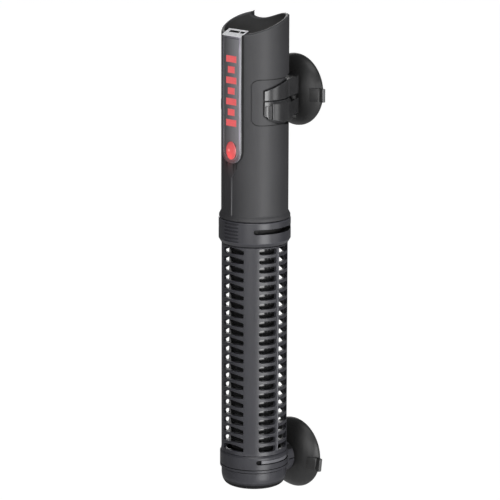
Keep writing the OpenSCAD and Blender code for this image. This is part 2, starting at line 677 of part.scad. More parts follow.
module guard_cage() color(guard_black) in_place() {
    difference() {
        rotate_extrude() polygon([[sleeve_bore_r, sleeve_low_z], [sleeve_r, sleeve_low_z],
            [sleeve_r, cage_low_z], [cage_r + 0.2, cage_low_z], [cage_r, cage_low_z + 1.6],
            [cage_r, cage_top_z - 0.4], [tongue_r, cage_top_z - 0.4], [tongue_r, tongue_top_z],
            [cage_r - cage_wall, tongue_top_z], [cage_r - cage_wall, cage_low_z + 1],
            [sleeve_bore_r, cage_low_z]]);
        slab_xz(-far / 2, far / 2) slot_rows() arched_slot(front_slot_w, slot_h, slot_arch);
        slab_yz() slot_rows() {
            rounded_slot(-side_slot_y, side_post_y - side_post_w / 2, side_slot_h);
            rounded_slot(side_post_y + side_post_w / 2, side_slot_y, side_slot_h);
        }
    }
    // rib down each side, and the lug that stops the foot ring
    for (side = [0, 1]) mirror([side, 0, 0]) {
        intersection() {
            tube_between(cage_r - cage_wall, cage_r + cage_rib_proud,
                cage_low_z + 2, cage_top_z - cage_low_z - 3);
            translate([0, side_post_y - cage_rib_w / 2, 0]) cube([far, cage_rib_w, far * 3]);
        }
        ring_sector(sleeve_r - 1, sleeve_r + 1.5, foot_slot_z - foot_slot_h / 2 + 0.3, foot_slot_h - 0.6,
            foot_slot_start + foot_turn, 180 - foot_slot_start - foot_turn);
    }
}

module foot_ring() color(guard_black) in_place() difference() {
    union() {
        rotate_extrude() polygon([[foot_bore_r, foot_low_z], [foot_r - 0.3, foot_low_z],
            [foot_r, foot_low_z + 0.3], [foot_r, foot_line_z - 0.25], [foot_r - 0.3, foot_line_z],
            [foot_r, foot_line_z + 0.25], [foot_r, foot_top_z - 0.9], [foot_r - 0.7, foot_top_z],
            [foot_bore_r, foot_top_z]]);
        // boss that carries the lower cup
        difference() {
            translate([0, 12, lower_cup_z]) rotate([-90, 0, 0])
                cylinder(r = foot_boss_r, h = plate_back_y - 12);
            translate([0, 0, -far / 2]) cylinder(r = cap_r + free_gap, h = foot_low_z + far / 2);
            cylinder(r = foot_bore_r, h = far);
        }
    }
    for (side = [0, 1]) mirror([side, 0, 0])
        round_slot(foot_bore_r - 1, far / 2, foot_slot_z, foot_slot_h,
            foot_slot_start, 180 - foot_slot_start);
    button_room(lower_cup_z, 12);
    // split that lets the boss spring open over the cup's button
    translate([-far / 2, foot_r + 0.3, lower_cup_z - 0.25]) cube([far, far, 0.5]);
}

module end_cap() color(guard_black) in_place() difference() {
    rotate_extrude() polygon(concat(
        [[0, 0]],
        curve([[cap_r - 4, 0], [cap_r - 1.6, 0.1], [cap_r - 0.2, 2.6], [cap_r, 6.2]], 8),
        [[cap_r, cap_top_z], [cap_spigot_r, cap_top_z], [cap_spigot_r, cap_spigot_top_z],
            [cap_spigot_r - 1.8, cap_spigot_top_z], [cap_spigot_r - 1.8, 5],
            [cap_spigot_r - 3.4, cap_wall], [0, cap_wall]]));
    for (i = [0:5]) rotate([0, 0, 60 * i]) translate([9.6, 0, -1]) cylinder(r = 1.5, h = 5, $fn = 32);
}

// Soft seat under the round end of the glass tube
module end_cushion() color(rubber_black) in_place() difference() {
    translate([0, 0, cap_wall]) cylinder(r = 9, h = tube_low_z - cap_wall + 1.4);
    tube_space(free_gap);
}

head_housing();
light_bar();
bar_inlay();
scale_marks();
lamp_lens();
lamp();
cable_gland();
gland_nut();
control_board();
board_components();
terminal_block();
temperature_sensor();
tube_seal();
seal_clamp_ring();
o_ring();
glass_tube();
element_core();
heating_coil();
lead_wires();
thermal_fuse();
upper_bracket();
left_release_arm();
right_release_arm();
upper_cup();
guard_collar();
guard_cage();
end_cap();
end_cushion();
foot_ring();
lower_cup();
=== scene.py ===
import json
from math import cos, pi, radians, sin
import bmesh
import bpy
from mathutils import Matrix, Quaternion, Vector
from mathutils.geometry import interpolate_bezier


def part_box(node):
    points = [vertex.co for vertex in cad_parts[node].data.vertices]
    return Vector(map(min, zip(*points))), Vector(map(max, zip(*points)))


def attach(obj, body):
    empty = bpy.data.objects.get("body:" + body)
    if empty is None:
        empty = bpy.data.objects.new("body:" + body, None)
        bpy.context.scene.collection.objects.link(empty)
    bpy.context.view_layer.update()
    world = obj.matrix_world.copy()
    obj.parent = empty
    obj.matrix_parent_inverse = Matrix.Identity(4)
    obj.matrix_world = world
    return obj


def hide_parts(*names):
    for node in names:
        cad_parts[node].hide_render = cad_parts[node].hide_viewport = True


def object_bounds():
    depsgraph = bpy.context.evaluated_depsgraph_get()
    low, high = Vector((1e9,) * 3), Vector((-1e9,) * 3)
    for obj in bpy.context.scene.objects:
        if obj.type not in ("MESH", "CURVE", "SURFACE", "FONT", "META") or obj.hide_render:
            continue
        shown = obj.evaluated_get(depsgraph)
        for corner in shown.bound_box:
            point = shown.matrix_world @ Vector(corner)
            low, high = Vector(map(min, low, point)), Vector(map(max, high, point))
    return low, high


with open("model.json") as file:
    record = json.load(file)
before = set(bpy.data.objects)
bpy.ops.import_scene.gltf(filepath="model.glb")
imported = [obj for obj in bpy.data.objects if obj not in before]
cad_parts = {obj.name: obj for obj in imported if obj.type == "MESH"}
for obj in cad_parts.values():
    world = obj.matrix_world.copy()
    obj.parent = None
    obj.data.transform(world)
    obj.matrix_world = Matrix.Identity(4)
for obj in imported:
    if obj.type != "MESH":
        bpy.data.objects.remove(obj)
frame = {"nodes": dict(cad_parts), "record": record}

mm = 0.001
frameLow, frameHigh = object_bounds()
axisY = (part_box("glass_tube")[0].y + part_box("glass_tube")[1].y) / 2  # the heater stands on this line
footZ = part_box("end_cap")[0].z
nodes = frame["nodes"]
print("frame: %d nodes, %.0f mm tall" % (len(nodes), (frameHigh.z - frameLow.z) / mm))


def place(x, y, z):  # millimetres from the heater's axis and foot, to the frame
    return Vector((x * mm, axisY + y * mm, footZ + z * mm))


# distance and clip in metres, the height aimed at and the shift aside in millimetres, angles in degrees
view = {"azimuth": 44, "elevation": 13, "distance": 1.6, "targetHeight": 132.77, "aside": 2.53,
        "lens": 209.7, "sensor": 36, "roll": 0.165, "clip": (0.1, 50)}


def makeCamera():
    a, e = radians(view["azimuth"]), radians(view["elevation"])
    back = Vector((sin(a) * cos(e), -cos(a) * cos(e), sin(e)))
    right = Vector((cos(a), sin(a), 0))
    cam = bpy.data.objects.new("camera", bpy.data.cameras.new("camera"))
    bpy.context.scene.collection.objects.link(cam)
    cam.location = place(0, 0, view["targetHeight"]) + back * view["distance"] - right * view["aside"] * mm
    upright = (-back).to_track_quat("-Z", "Y")
    cam.rotation_euler = (upright @ Quaternion((0, 0, 1), radians(view["roll"]))).to_euler()
    cam.data.lens, cam.data.sensor_width = view["lens"], view["sensor"]
    cam.data.clip_start, cam.data.clip_end = view["clip"]
    bpy.context.scene.camera = cam
    print("camera made")


class Wire:  # a shader socket that joins in plain sums
    def __init__(self, finish, socket):
        self.finish, self.socket = finish, socket

    def maths(self, operation, a, b):
        return self.finish.add("ShaderNodeMath", {"operation": operation}, {0: a, 1: b})

    def __add__(self, other):
        return self.maths("ADD", self, other)

    def __radd__(self, other):
        return self.maths("ADD", other, self)

    def __sub__(self, other):
        return self.maths("SUBTRACT", self, other)

    def __rsub__(self, other):
        return self.maths("SUBTRACT", other, self)

    def __mul__(self, other):
        return self.maths("MULTIPLY", self, other)

    def __rmul__(self, other):
        return self.maths("MULTIPLY", other, self)

    def __truediv__(self, other):
        return self.maths("DIVIDE", self, other)

    def __rtruediv__(self, other):
        return self.maths("DIVIDE", other, self)


class Finish:  # one material, or the world, and the one way its nodes are added
    def __init__(self, name, tree=None, **fixed):
        self.tree = tree
        if tree:
            return
        self.material = bpy.data.materials.new(name)
        self.material.use_nodes = True
        self.tree = self.material.node_tree
        self.shader = self.tree.nodes["Principled BSDF"]
        for socket, value in fixed.items():
            self.shader.inputs[socket.replace("_", " ")].default_value = value

    def add(self, kind, settings=None, inputs=None, output=0):
        node = self.tree.nodes.new(kind)
        for key, value in (settings or {}).items():
            if key == "stops":
                while len(node.color_ramp.elements) < len(value):
                    node.color_ramp.elements.new(0.5)
                for element, (at, level) in zip(node.color_ramp.elements, value):
                    element.position = at
                    element.color = (level, level, level, 1)
            else:
                setattr(node, key, value)
        for key, value in (inputs or {}).items():
            self.feed(node.inputs[key], value)
        return Wire(self, node.outputs[output])

    def feed(self, socket, value):
        if isinstance(value, Wire):
            self.tree.links.new(value.socket, socket)
        else:
            socket.default_value = value

    def set(self, socket, value):
        self.feed(self.shader.inputs[socket], value)

    def spot(self, scale=(1, 1, 1)):  # the piece's own place, in metres times scale
        seen = self.add("ShaderNodeTexCoord", output="Object")
        return self.add("ShaderNodeMapping", {}, {"Vector": seen, "Scale": scale})

    def along(self, axis, low, high):  # 0 at the low place on an axis of the frame, 1 at the high one
        at = self.add("ShaderNodeSeparateXYZ", {}, {0: self.spot()}, "XYZ".index(axis))
        return (at - low) / (high - low)

    def within(self, middle, reach):  # 0 at a place, 1 at the reach in millimetres from it along each axis
        seen = self.add("ShaderNodeTexCoord", output="Object")
        near = self.add("ShaderNodeMapping", {"vector_type": "TEXTURE"},
                        {"Vector": seen, "Location": middle, "Scale": Vector(reach) * mm})
        return self.add("ShaderNodeVectorMath", {"operation": "LENGTH"}, {0: near}, 1)

    def noise(self, where, scale, detail=2.0, rough=0.5):
        return self.add("ShaderNodeTexNoise", {}, {"Vector": where, "Scale": scale, "Detail": detail,
                                                   "Roughness": rough}, "Fac")

    def ramp(self, value, *stops):
        return self.add("ShaderNodeValToRGB", {"stops": stops}, {"Fac": value})

    def blend(self, factor, a, b):
        return self.add("ShaderNodeMix", {"data_type": "RGBA"}, {0: factor, 6: a, 7: b}, 2)

    def over(self, output, under, top, share):
        mixed = self.add("ShaderNodeMixShader", {}, {0: share, 1: under, 2: top})
        self.feed(self.tree.nodes[output].inputs["Surface"], mixed)

    def bump(self, height, strength, distance):  # the distance in millimetres
        self.set("Normal", self.add("ShaderNodeBump", {}, {"Height": height, "Strength": strength,
                                                           "Distance": distance * mm}))


def grey(level, cool=0.0):
    return (level, level, level * (1 + cool), 1)


# plastic from a spark-eroded mould: fine grain, faint clouding, flow streaks along its length
def mouldedPlastic(name, dark, rough, cool=0.03, shine=0.5):
    f = Finish(name, Specular_IOR_Level=shine)
    where = f.spot()
    grain = f.noise(where, 3200, 3, 0.6)
    cloud = f.noise(where, 42, 3, 0.55)
    streak = f.noise(f.spot((240, 240, 14)), 1, 2)
    clouded = f.ramp(cloud, (0.35, 0), (0.7, 1))
    f.set("Base Color", f.blend(clouded, grey(dark, cool), grey(dark * 1.2, cool)))
    f.set("Roughness", rough + cloud * 0.06 + (streak - 0.5) * 0.05)
    f.bump(grain + cloud * 0.3, 0.16, 0.06)
    return f.material


def plasticsOf(piece):  # a piece's own plastics, in the order of its material slots
    return [mouldedPlastic(name, *values) for name, values in piece["plastics"].items()]


# black rubber: soft sheen, dusty bloom in patches, no sparkle
def softRubber(name, dark):
    f = Finish(name, Specular_IOR_Level=0.5, Sheen_Weight=0.05, Sheen_Roughness=0.4)
    where = f.spot()
    bloom = f.noise(where, 60, 4, 0.6)
    grain = f.noise(where, 2400, 2)
    f.set("Base Color", f.blend(f.ramp(bloom, (0.4, 0), (0.75, 1)), grey(dark), grey(dark * 1.5, 0.04)))
    f.set("Roughness", 0.36 + bloom * 0.14)
    f.bump(grain + bloom, 0.1, 0.05)
    return f.material


# red print with a glow of its own: on the scale marks the glow is painted light; the lamp inside wears it
# too
def printedRed(name):
    f = Finish(name, Coat_Weight=0.8, Coat_Roughness=0.08, Emission_Strength=0.45)
    ink = f.noise(f.spot(), 900, 3, 0.6)
    colour = f.blend(ink, (0.6, 0.085, 0.09, 1), (0.7, 0.12, 0.125, 1))
    f.set("Base Color", colour)
    f.set("Emission Color", colour)
    f.set("Roughness", 0.36 + ink * 0.12)
    f.bump(ink, 0.08, 0.03)
    return f.material


def bodyOf(node):
    for body, members in frame["record"]["behaviour"]["bodies"].items():
        if node in members:
            return body


weld = {"copied": 0.002, "spun": 0.001, "flat": 0.4}  # corners join within these mm, faces within degrees
roundWall = {"level": 0.2, "lean": 4.2}  # how far a normal has to lie sideways, and may turn, in degrees
edgeHighlightSlot = 1  # rounded edges take every piece's second material, which on the head, holder and guard is paler: a painted highlight along their edges


def mergedCopy(node):  # the node's own solid, with whole faces in place of loose triangles
    bm = bmesh.new()
    bm.from_mesh(nodes[node].data)
    bmesh.ops.remove_doubles(bm, verts=bm.verts, dist=weld["copied"] * mm)
    bmesh.ops.dissolve_limit(bm, angle_limit=radians(weld["flat"]), verts=bm.verts, edges=bm.edges)
    for face in bm.faces:
        face.material_index = 0
    return bm


def fromAxis(point):
    return Vector((point.x, point.y - axisY)).length / mm


def height(point):
    return (point.z - footZ) / mm


# rounds the outward corners that chosen(edge) picks, sharper than so many degrees
def roundEdges(bm, chosen, offset, segments=2, sharper=30):
    edges = [e for e in bm.edges if len(e.link_faces) == 2 and e.calc_face_angle(0) > radians(sharper)
             and e.calc_face_angle_signed(0) > 0 and chosen(e)]
    made = bmesh.ops.bevel(bm, geom=edges, offset=offset * mm, offset_type="OFFSET", segments=segments,
                           profile=0.5, affect="EDGES", clamp_overlap=False, material=-1)
    # the rounding takes the piece's edge slot, a painted highlight where that material is paler
    for face in made["faces"]:
        face.material_index = edgeHighlightSlot


def facing(face, point):  # straight away from the heater's axis where the face is part of a round wall
    away = Vector((point.x, point.y - axisY))
    flat = Vector(face.normal.xy)
    side = 1 if flat.dot(away) > 0 else -1
    if flat.length < roundWall["level"] or away.length < mm:
        return face.normal
    if flat.angle(away * side) > radians(roundWall["lean"]):
        return face.normal
    away = away.normalized() * flat.length * side
    return Vector((away.x, away.y, face.normal.z))


# corners shared by smooth faces lean by area, so a long wall stays true beside its rounded edge
def trueNormals(mesh, sharp):
    around = [[] for v in mesh.vertices]
    for face in mesh.polygons:
        for v in face.vertices:
            around[v].append(face)
    corners = [None] * len(mesh.loops)
    for face in mesh.polygons:
        for v, loop in zip(face.vertices, face.loop_indices):
            point = mesh.vertices[v].co
            joined = [f for f in around[v] if f.normal.dot(face.normal) > cos(sharp)]
            corners[loop] = sum((facing(f, point) * f.area for f in joined), Vector()).normalized()
    mesh.normals_split_custom_set(corners)


# the piece that stands for a node of the frame, creased where faces meet at more than sharp degrees
# turned is for pieces with round walls, whose shading follows the heater's axis
def finished(name, node, bm, materials, sharp=35, turned=False):
    mesh = bpy.data.meshes.new(name)
    bmesh.ops.recalc_face_normals(bm, faces=bm.faces)
    bm.to_mesh(mesh)
    bm.free()
    for material in materials:
        mesh.materials.append(material)
    mesh.shade_smooth()
    mesh.set_sharp_from_angle(angle=radians(sharp))
    if turned:
        trueNormals(mesh, radians(sharp))
    piece = bpy.data.objects.new(name, mesh)
    bpy.context.scene.collection.objects.link(piece)
    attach(piece, bodyOf(node))
    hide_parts(node)


def spun(points, centre, axis, steps):  # (radius, height along the axis) pairs, turned into a solid
    bm = bmesh.new()
    across = Vector(axis).orthogonal().normalized()
    verts = [bm.verts.new(centre + across * r * mm + Vector(axis) * h * mm) for r, h in points]
    edges = [bm.edges.new(pair) for pair in zip(verts, verts[1:])]
    bmesh.ops.spin(bm, geom=verts + edges, cent=centre, axis=axis, dvec=(0, 0, 0), angle=2 * pi,
                   steps=steps, use_merge=True)
    bmesh.ops.remove_doubles(bm, verts=bm.verts, dist=weld["spun"] * mm)
    return bm


def arc(controls, count):  # points along one cubic curve
    a, b, c, d = (Vector((x, y, 0)) for x, y in controls)
    return [(p.x, p.y) for p in interpolate_bezier(a, b, c, d, count)]


def extruded(outline, depth):  # a flat outline in X and Y, drawn up Z and centred on it
    bm = bmesh.new()
    face = bm.faces.new([bm.verts.new((x * mm, y * mm, -depth / 2 * mm)) for x, y in outline])
    grown = bmesh.ops.extrude_face_region(bm, geom=[face])
    bmesh.ops.translate(bm, verts=[v for v in grown["geom"] if isinstance(v, bmesh.types.BMVert)],
                        vec=(0, 0, depth * mm))
    return bm


# sizes are in millimetres from the heater's axis and foot, with Y away from the front
# plastics are given by tone, roughness, coolness and shine
head = {"radius": 18.4, "bore": 16.4,
        "rim": {"from": 250, "within": 0.12, "round": 0.85},
        "ridge": {"half": 0.8, "within": 0.05, "top": 184, "proud": 18.9, "round": 0.5},
        "edging": {"half": 7.75, "from": 182, "front": -17.9, "back": -16.4, "deep": 0.6, "sideways": 0.7},
        "groove": {"front": -14, "near": 17.6, "far": 18.35, "low": 190, "high": 236},
        "spigot": {"radius": 17.7, "top": 152},
        "recess": {"floor": 232, "within": 0.3, "paintedFillLow": 244, "paintedFillHigh": 264},
        "plastics": {"headPlastic": (0.03, 0.5, 0.08), "headEdgeHighlight": (0.042, 0.42, 0.08)},
        "slot": {"dark": 2, "dustAndPaintedFill": 3}}


# inside wall of the open top: faint lime dust mottles it, and its lower part is painted paler, painted
# fill light in the shade inside the rim
def dustAndPaintedFillWall(name, low, high):
    f = Finish(name, Specular_IOR_Level=0.4)
    dust = f.noise(f.spot(), 90, 4, 0.6)
    # painted fill light: paler towards the bottom of the wall, where the rim's shade falls
    risen = f.ramp(f.along("Z", footZ + low * mm, footZ + high * mm), (0.0, 0), (1.0, 1))
    dustAndPaintedFill = f.blend(dust, grey(0.12), grey(0.15))
    unfilledTone = f.blend(dust, grey(0.026), grey(0.032))
    f.set("Base Color", f.blend(risen, dustAndPaintedFill, unfilledTone))
    f.set("Roughness", 0.75 + dust * 0.1)
    f.bump(dust + f.noise(f.spot(), 3200, 3), 0.14, 0.06)
    return f.material


def headSlot(face):  # dust and painted fill light in the open top; painted shade on the spigot, round the side pad and beside the bar
    edging, groove, spigot, recess = (head[key] for key in ("edging", "groove", "spigot", "recess"))
    c = face.calc_center_median()
    x, y, z, out = abs(c.x) / mm, (c.y - axisY) / mm, height(c), fromAxis(c)
    if abs(out - head["bore"]) < recess["within"] and z > recess["floor"]:
        return head["slot"]["dustAndPaintedFill"]
    onSpigot = z < spigot["top"] and out < spigot["radius"]
    inGroove = c.x > 0 and y > groove["front"] and groove["near"] < out < groove["far"] \
        and groove["low"] < z < groove["high"]
    byBar = x < edging["half"] and y < edging["back"] and z > edging["from"] \
        and out > head["radius"] - edging["deep"] \
        and (abs(face.normal.x) > edging["sideways"] or y < edging["front"])
    return head["slot"]["dark"] if onSpigot or inGroove or byBar else 0


def onRim(edge):
    walls = head["radius"], head["bore"]
    return all(height(v.co) > head["rim"]["from"]
               and min(abs(fromAxis(v.co) - wall) for wall in walls) < head["rim"]["within"]
               for v in edge.verts)


def onRidge(edge):
    ridge = head["ridge"]
    return all(height(v.co) < ridge["top"] and fromAxis(v.co) > ridge["proud"]
               and abs(abs(v.co.x) / mm - ridge["half"]) < ridge["within"] for v in edge.verts)


def makeHead():
    bm = mergedCopy("head_housing")
    for face in bm.faces:
        face.material_index = headSlot(face)
    roundEdges(bm, onRim, head["rim"]["round"], 4)
    roundEdges(bm, onRidge, head["ridge"]["round"], 3)
    dullWall = dustAndPaintedFillWall("dullWall", head["recess"]["paintedFillLow"], head["recess"]["paintedFillHigh"])
    finished("headHousing", "head_housing", bm, plasticsOf(head) + [paintedShade, dullWall], turned=True)
    print("head made")


holder = {"pivot": (10.2, 18.9), "knuckle": 2.1, "clear": 0.8, "shortest": 0.8, "edge": 0.28,
          "earTop": 207.5,
          "plastics": {"holderPlastic": (0.022, 0.22, 0.05, 0.95), "holderEdgeHighlight": (0.05, 0.24, 0.05, 0.9)},
          "slot": {"dark": 2}}


def fromPivot(point):  # from the nearer of the two lines that the release arms turn on
    x, y = holder["pivot"]
    return Vector((abs(point.x) / mm - x, (point.y - axisY) / mm - y)).length


def clearOfPivot(edge):
    return edge.calc_length() > holder["shortest"] * mm and all(
        fromPivot(v.co) > holder["knuckle"] + holder["clear"] for v in edge.verts)


def makeHolder():
    materials = plasticsOf(holder) + [paintedShade]
    for node in ("upper_bracket", "left_release_arm", "right_release_arm"):
        bm = mergedCopy(node)
        roundEdges(bm, clearOfPivot, holder["edge"], 3)
        for face in bm.faces:
            # painted shade on the bracket's ears and on the knuckles round the pivots
            onEar = node == "upper_bracket" and height(face.calc_center_median()) < holder["earTop"]
            if onEar or all(fromPivot(v.co) < holder["knuckle"] for v in face.verts):
                face.material_index = holder["slot"]["dark"]
        finished(node + "Finished", node, bm, materials, turned=True)
    print("holder made")


# shade holds the heights between which level faces get painted shade; under, how far down a face of the
# cap looks to get half or full painted shade
guard = {"edge": 0.15, "edgeDeep": 2.2, "level": 0.6,
         "rib": {"proud": 18.4, "long": 20, "round": 0.32, "upright": 0.5},
         "sleeve": {"radius": 17.2, "top": 20},
         "shadowBand": {"height": 138.4, "within": 0.01},
         "under": {"halfDark": -0.25, "dark": -0.4},
         "shade": {"guard_collar": [(145, 149)], "foot_ring": [(15, 18), (10, 12.3)]},
         "grip": {"low": 140.3, "tall": 1.5, "radius": 19.9, "half": 7, "forward": -0.9},
         "plastics": {"guardPlastic": (0.031, 0.33, 0.18, 0.57), "guardEdgeHighlight": (0.055, 0.3, 0.18),
                      "guardShade": (0.006, 0.7, 0.1, 0.2), "guardHalfShade": (0.02, 0.5, 0.18, 0.35),
                      "ribCrestHighlight": (0.11, 0.3, 0.1)},
         "slot": {"dark": 2, "halfDark": 3, "crestHighlight": 4}}


def guardSlot(node, face):  # painted shade on slot walls, the ring's groove, the band under the collar, the sleeves and the cap's underside; half painted shade between the grip ribs and where the underside begins
    sleeve, shadowBand, under, grip, slot = (guard[key] for key in ("sleeve", "shadowBand", "under", "grip", "slot"))
    heights = [height(v.co) for v in face.verts]
    low, high, c = min(heights), max(heights), face.calc_center_median()
    if node == "guard_cage" and high < sleeve["top"] and fromAxis(c) < sleeve["radius"]:
        return slot["dark"]
    if node == "guard_collar" and high < shadowBand["height"] + shadowBand["within"]:
        return slot["dark"]
    if node == "end_cap" and face.normal.z < under["halfDark"]:
        return slot["dark"] if face.normal.z < under["dark"] else slot["halfDark"]
    if abs(face.normal.z) > guard["level"]:
        shaded = any(a < low and high < b for a, b in guard["shade"].get(node, []))
        return slot["dark"] if shaded else 0
    inGrip = node == "guard_collar" and high - low < grip["tall"] and low > grip["low"] \
        and fromAxis(c) < grip["radius"] and abs(c.x) < grip["half"] * mm \
        and face.normal.y < grip["forward"]
    return slot["halfDark"] if inGrip else 0


def makeRibs(bm):  # rounds the cage's right-hand rib, and paints a paler crest on both ribs, a painted highlight
    rib = guard["rib"]
    roundEdges(bm, lambda e: e.calc_length() > rib["long"] * mm and all(
        fromAxis(v.co) > rib["proud"] and v.co.x > 0 for v in e.verts), rib["round"], 3)
    for face in bm.faces:
        if fromAxis(face.calc_center_median()) > rib["proud"] and abs(face.normal.z) < rib["upright"]:
            face.material_index = guard["slot"]["crestHighlight"]


def makeGuard():
    materials = plasticsOf(guard)
    for node in ("guard_cage", "guard_collar", "foot_ring", "end_cap"):
        bm = mergedCopy(node)
        outer = max(fromAxis(v.co) for v in bm.verts)
        if node == "guard_collar":
            # a cut round the collar, below which its lowest band takes a painted shadow
            bmesh.ops.bisect_plane(bm, geom=bm.verts[:] + bm.edges[:] + bm.faces[:],
                                   plane_co=place(0, 0, guard["shadowBand"]["height"]), plane_no=(0, 0, 1))
        for face in bm.faces:
            face.material_index = guardSlot(node, face)
        if node == "guard_cage":
            makeRibs(bm)
        roundEdges(bm, lambda e: all(fromAxis(v.co) > outer - guard["edgeDeep"] for v in e.verts),
                   guard["edge"])
        finished(node + "Finished", node, bm, materials, turned=True)
    print("guard made")


# across and upwards say how bright the bar's painted highlights are, at places from 0 to 1 between its
# sides and up its height; its glow strength is a painted glow
bar = {"edge": 0.2, "edgeFront": -18, "capFrom": 249, "capLevel": 0.5,
       "pocket": {"from": 245, "proud": 0.05, "shallow": -0.35, "deep": -3},
       "half": 7.5, "low": 180, "high": 270,
       "strip": {"tones": [(0.42, 0.41, 0.48, 1), (0.6, 0.58, 0.66, 1)], "paintedGlow": 0.08,
                 "across": [(0.0, 0.8), (0.033, 0.8), (0.055, 0.12), (0.147, 0.2), (0.85, 0.7), (0.93, 1),
                            (0.955, 0.4), (0.975, 0.08)],
                 "upwards": [(0.05, 0.25), (0.2, 1), (0.74, 1), (0.78, 0.7)]},
       "cap": {"tones": [(0.6, 0.6, 0.62, 1), (0.85, 0.85, 0.87, 1)], "paintedGlow": 0.3,
               "across": [(0.0, 1), (1.0, 1)], "upwards": [(0.0, 1), (1.0, 1)]},
       "slot": {"cap": 2, "pocket": 3}}


# polished clear plastic over the dark head, with painted highlights: painted bright where it bends light
# to the front, dark between, and a faint painted glow
def clearBar(name, part):
    f = Finish(name, IOR=1.49, Specular_IOR_Level=0.6, Coat_Weight=1.0, Coat_Roughness=0.03,
               Emission_Strength=part["paintedGlow"])
    flow = f.noise(f.spot((900, 900, 60)), 1, 2)
    aside = f.ramp(f.along("X", -bar["half"] * mm, bar["half"] * mm), *part["across"])
    risen = f.ramp(f.along("Z", footZ + bar["low"] * mm, footZ + bar["high"] * mm), *part["upwards"])
    streaked = f.blend(f.ramp(flow, (0.3, 0), (0.7, 1)), *part["tones"])
    colour = f.blend(aside * risen, grey(0.02), streaked)
    f.set("Base Color", colour)
    f.set("Emission Color", colour)
    f.set("Roughness", 0.1 + f.noise(f.spot(), 300, 2) * 0.1)
    f.bump(flow, 0.06, 0.1)
    return f.material


def makeBar():
    bm = mergedCopy("light_bar")
    roundEdges(bm, lambda e: all((v.co.y - axisY) / mm < bar["edgeFront"] for v in e.verts), bar["edge"])
    cap = [f for f in bm.faces if f.normal.z > bar["capLevel"]
           and height(f.calc_center_median()) > bar["capFrom"]]
    top = max(cap, key=lambda f: f.calc_area())
    pocket = bar["pocket"]
    # the upward cap gets a pale, faintly glowing finish, painted light; the pocket behind it gets painted
    # shade
    for face in bm.faces:
        below = [(v.co - top.verts[0].co).dot(top.normal) / mm for v in face.verts]
        if face in cap:
            face.material_index = bar["slot"]["cap"]
        if max(below) < pocket["proud"] and pocket["deep"] < min(below) < pocket["shallow"] \
                and height(face.calc_center_median()) > pocket["from"]:
            face.material_index = bar["slot"]["pocket"]
    strip = clearBar("barStrip", bar["strip"])
    finished("lightBar", "light_bar", bm, [strip, strip, clearBar("barCap", bar["cap"]), paintedShade])
    print("bar made")


lens = {"halfWidth": 3.75, "halfHeight": 4.95, "bulge": 0.8, "middle": (0, -18.6, 191),
        "glowReach": (3.7, 30, 5), "point": (-0.9, -18.6, 191.2), "pointReach": (1.1, 30, 1.1),
        "around": 64, "rings": 32}


# lit lens: the lamp's bright point shows through evenly lit red
def litLens(name):
    f = Finish(name, Coat_Weight=1.0, Coat_Roughness=0.03, Emission_Strength=0.72)
    glow = f.ramp(f.within(place(*lens["middle"]), lens["glowReach"]), (0.6, 1), (1.0, 0))
    point = f.ramp(f.within(place(*lens["point"]), lens["pointReach"]), (0.0, 1), (1.0, 0))
    speck = f.noise(f.spot(), 1400, 2)
    f.set("Base Color", f.blend(speck, (0.42, 0.06, 0.06, 1), (0.5, 0.08, 0.08, 1)))
    even = f.blend(glow, (0.25, 0.035, 0.04, 1), (0.45, 0.075, 0.08, 1))
    f.set("Emission Color", f.blend(point, even, (1.0, 0.42, 0.38, 1)))
    f.set("Roughness", 0.2 + speck * 0.08)
    f.bump(speck, 0.05, 0.05)
    return f.material


def makeLens():  # half a ball, squeezed into a shallow oval dome
    bm = bmesh.new()
    bmesh.ops.create_uvsphere(bm, u_segments=lens["around"], v_segments=lens["rings"], radius=1)
    bmesh.ops.bisect_plane(bm, geom=bm.verts[:] + bm.edges[:] + bm.faces[:], plane_co=(0, 0, 0),
                           plane_no=(0, 1, 0), clear_outer=True)
    bmesh.ops.contextual_create(bm, geom=[e for e in bm.edges if e.is_boundary])
    halves = (lens["halfWidth"] * mm, lens["bulge"] * mm, lens["halfHeight"] * mm, 1)
    bmesh.ops.transform(bm, verts=bm.verts,
                        matrix=Matrix.Translation(place(*lens["middle"])) @ Matrix.Diagonal(halves))
    finished("lampLens", "lamp_lens", bm, [litLens("lensRed")])
    print("lens made")


inlay = {"half": 5.4, "dark": [(0.05, 0.05, 0.053, 1), (0.065, 0.065, 0.07, 1)],
         "pale": [(0.24, 0.24, 0.25, 1), (0.3, 0.3, 0.32, 1)]}


# dark grey plate under gloss, with fine brushed lines, and a painted highlight: paler towards the side
# that the light enters
def inlayPlate(name):
    f = Finish(name, Coat_Weight=1.0, Coat_Roughness=0.06, Specular_IOR_Level=0.5)
    lines = f.noise(f.spot((3000, 3000, 90)), 1, 2)
    side = f.ramp(f.along("X", -inlay["half"] * mm, inlay["half"] * mm), (0.0, 0), (1.0, 1))
    f.set("Base Color", f.blend(side, f.blend(lines, *inlay["dark"]), f.blend(lines, *inlay["pale"])))
    f.set("Roughness", 0.34 + f.noise(f.spot(), 50, 2) * 0.12)
    f.bump(lines, 0.05, 0.04)
    return f.material


def makeInlay():
    for node, material in (("bar_inlay", inlayPlate("inlayPlate")), ("scale_marks", red)):
        finished(node + "Finished", node, mergedCopy(node), [material])
    print("inlay and marks made")


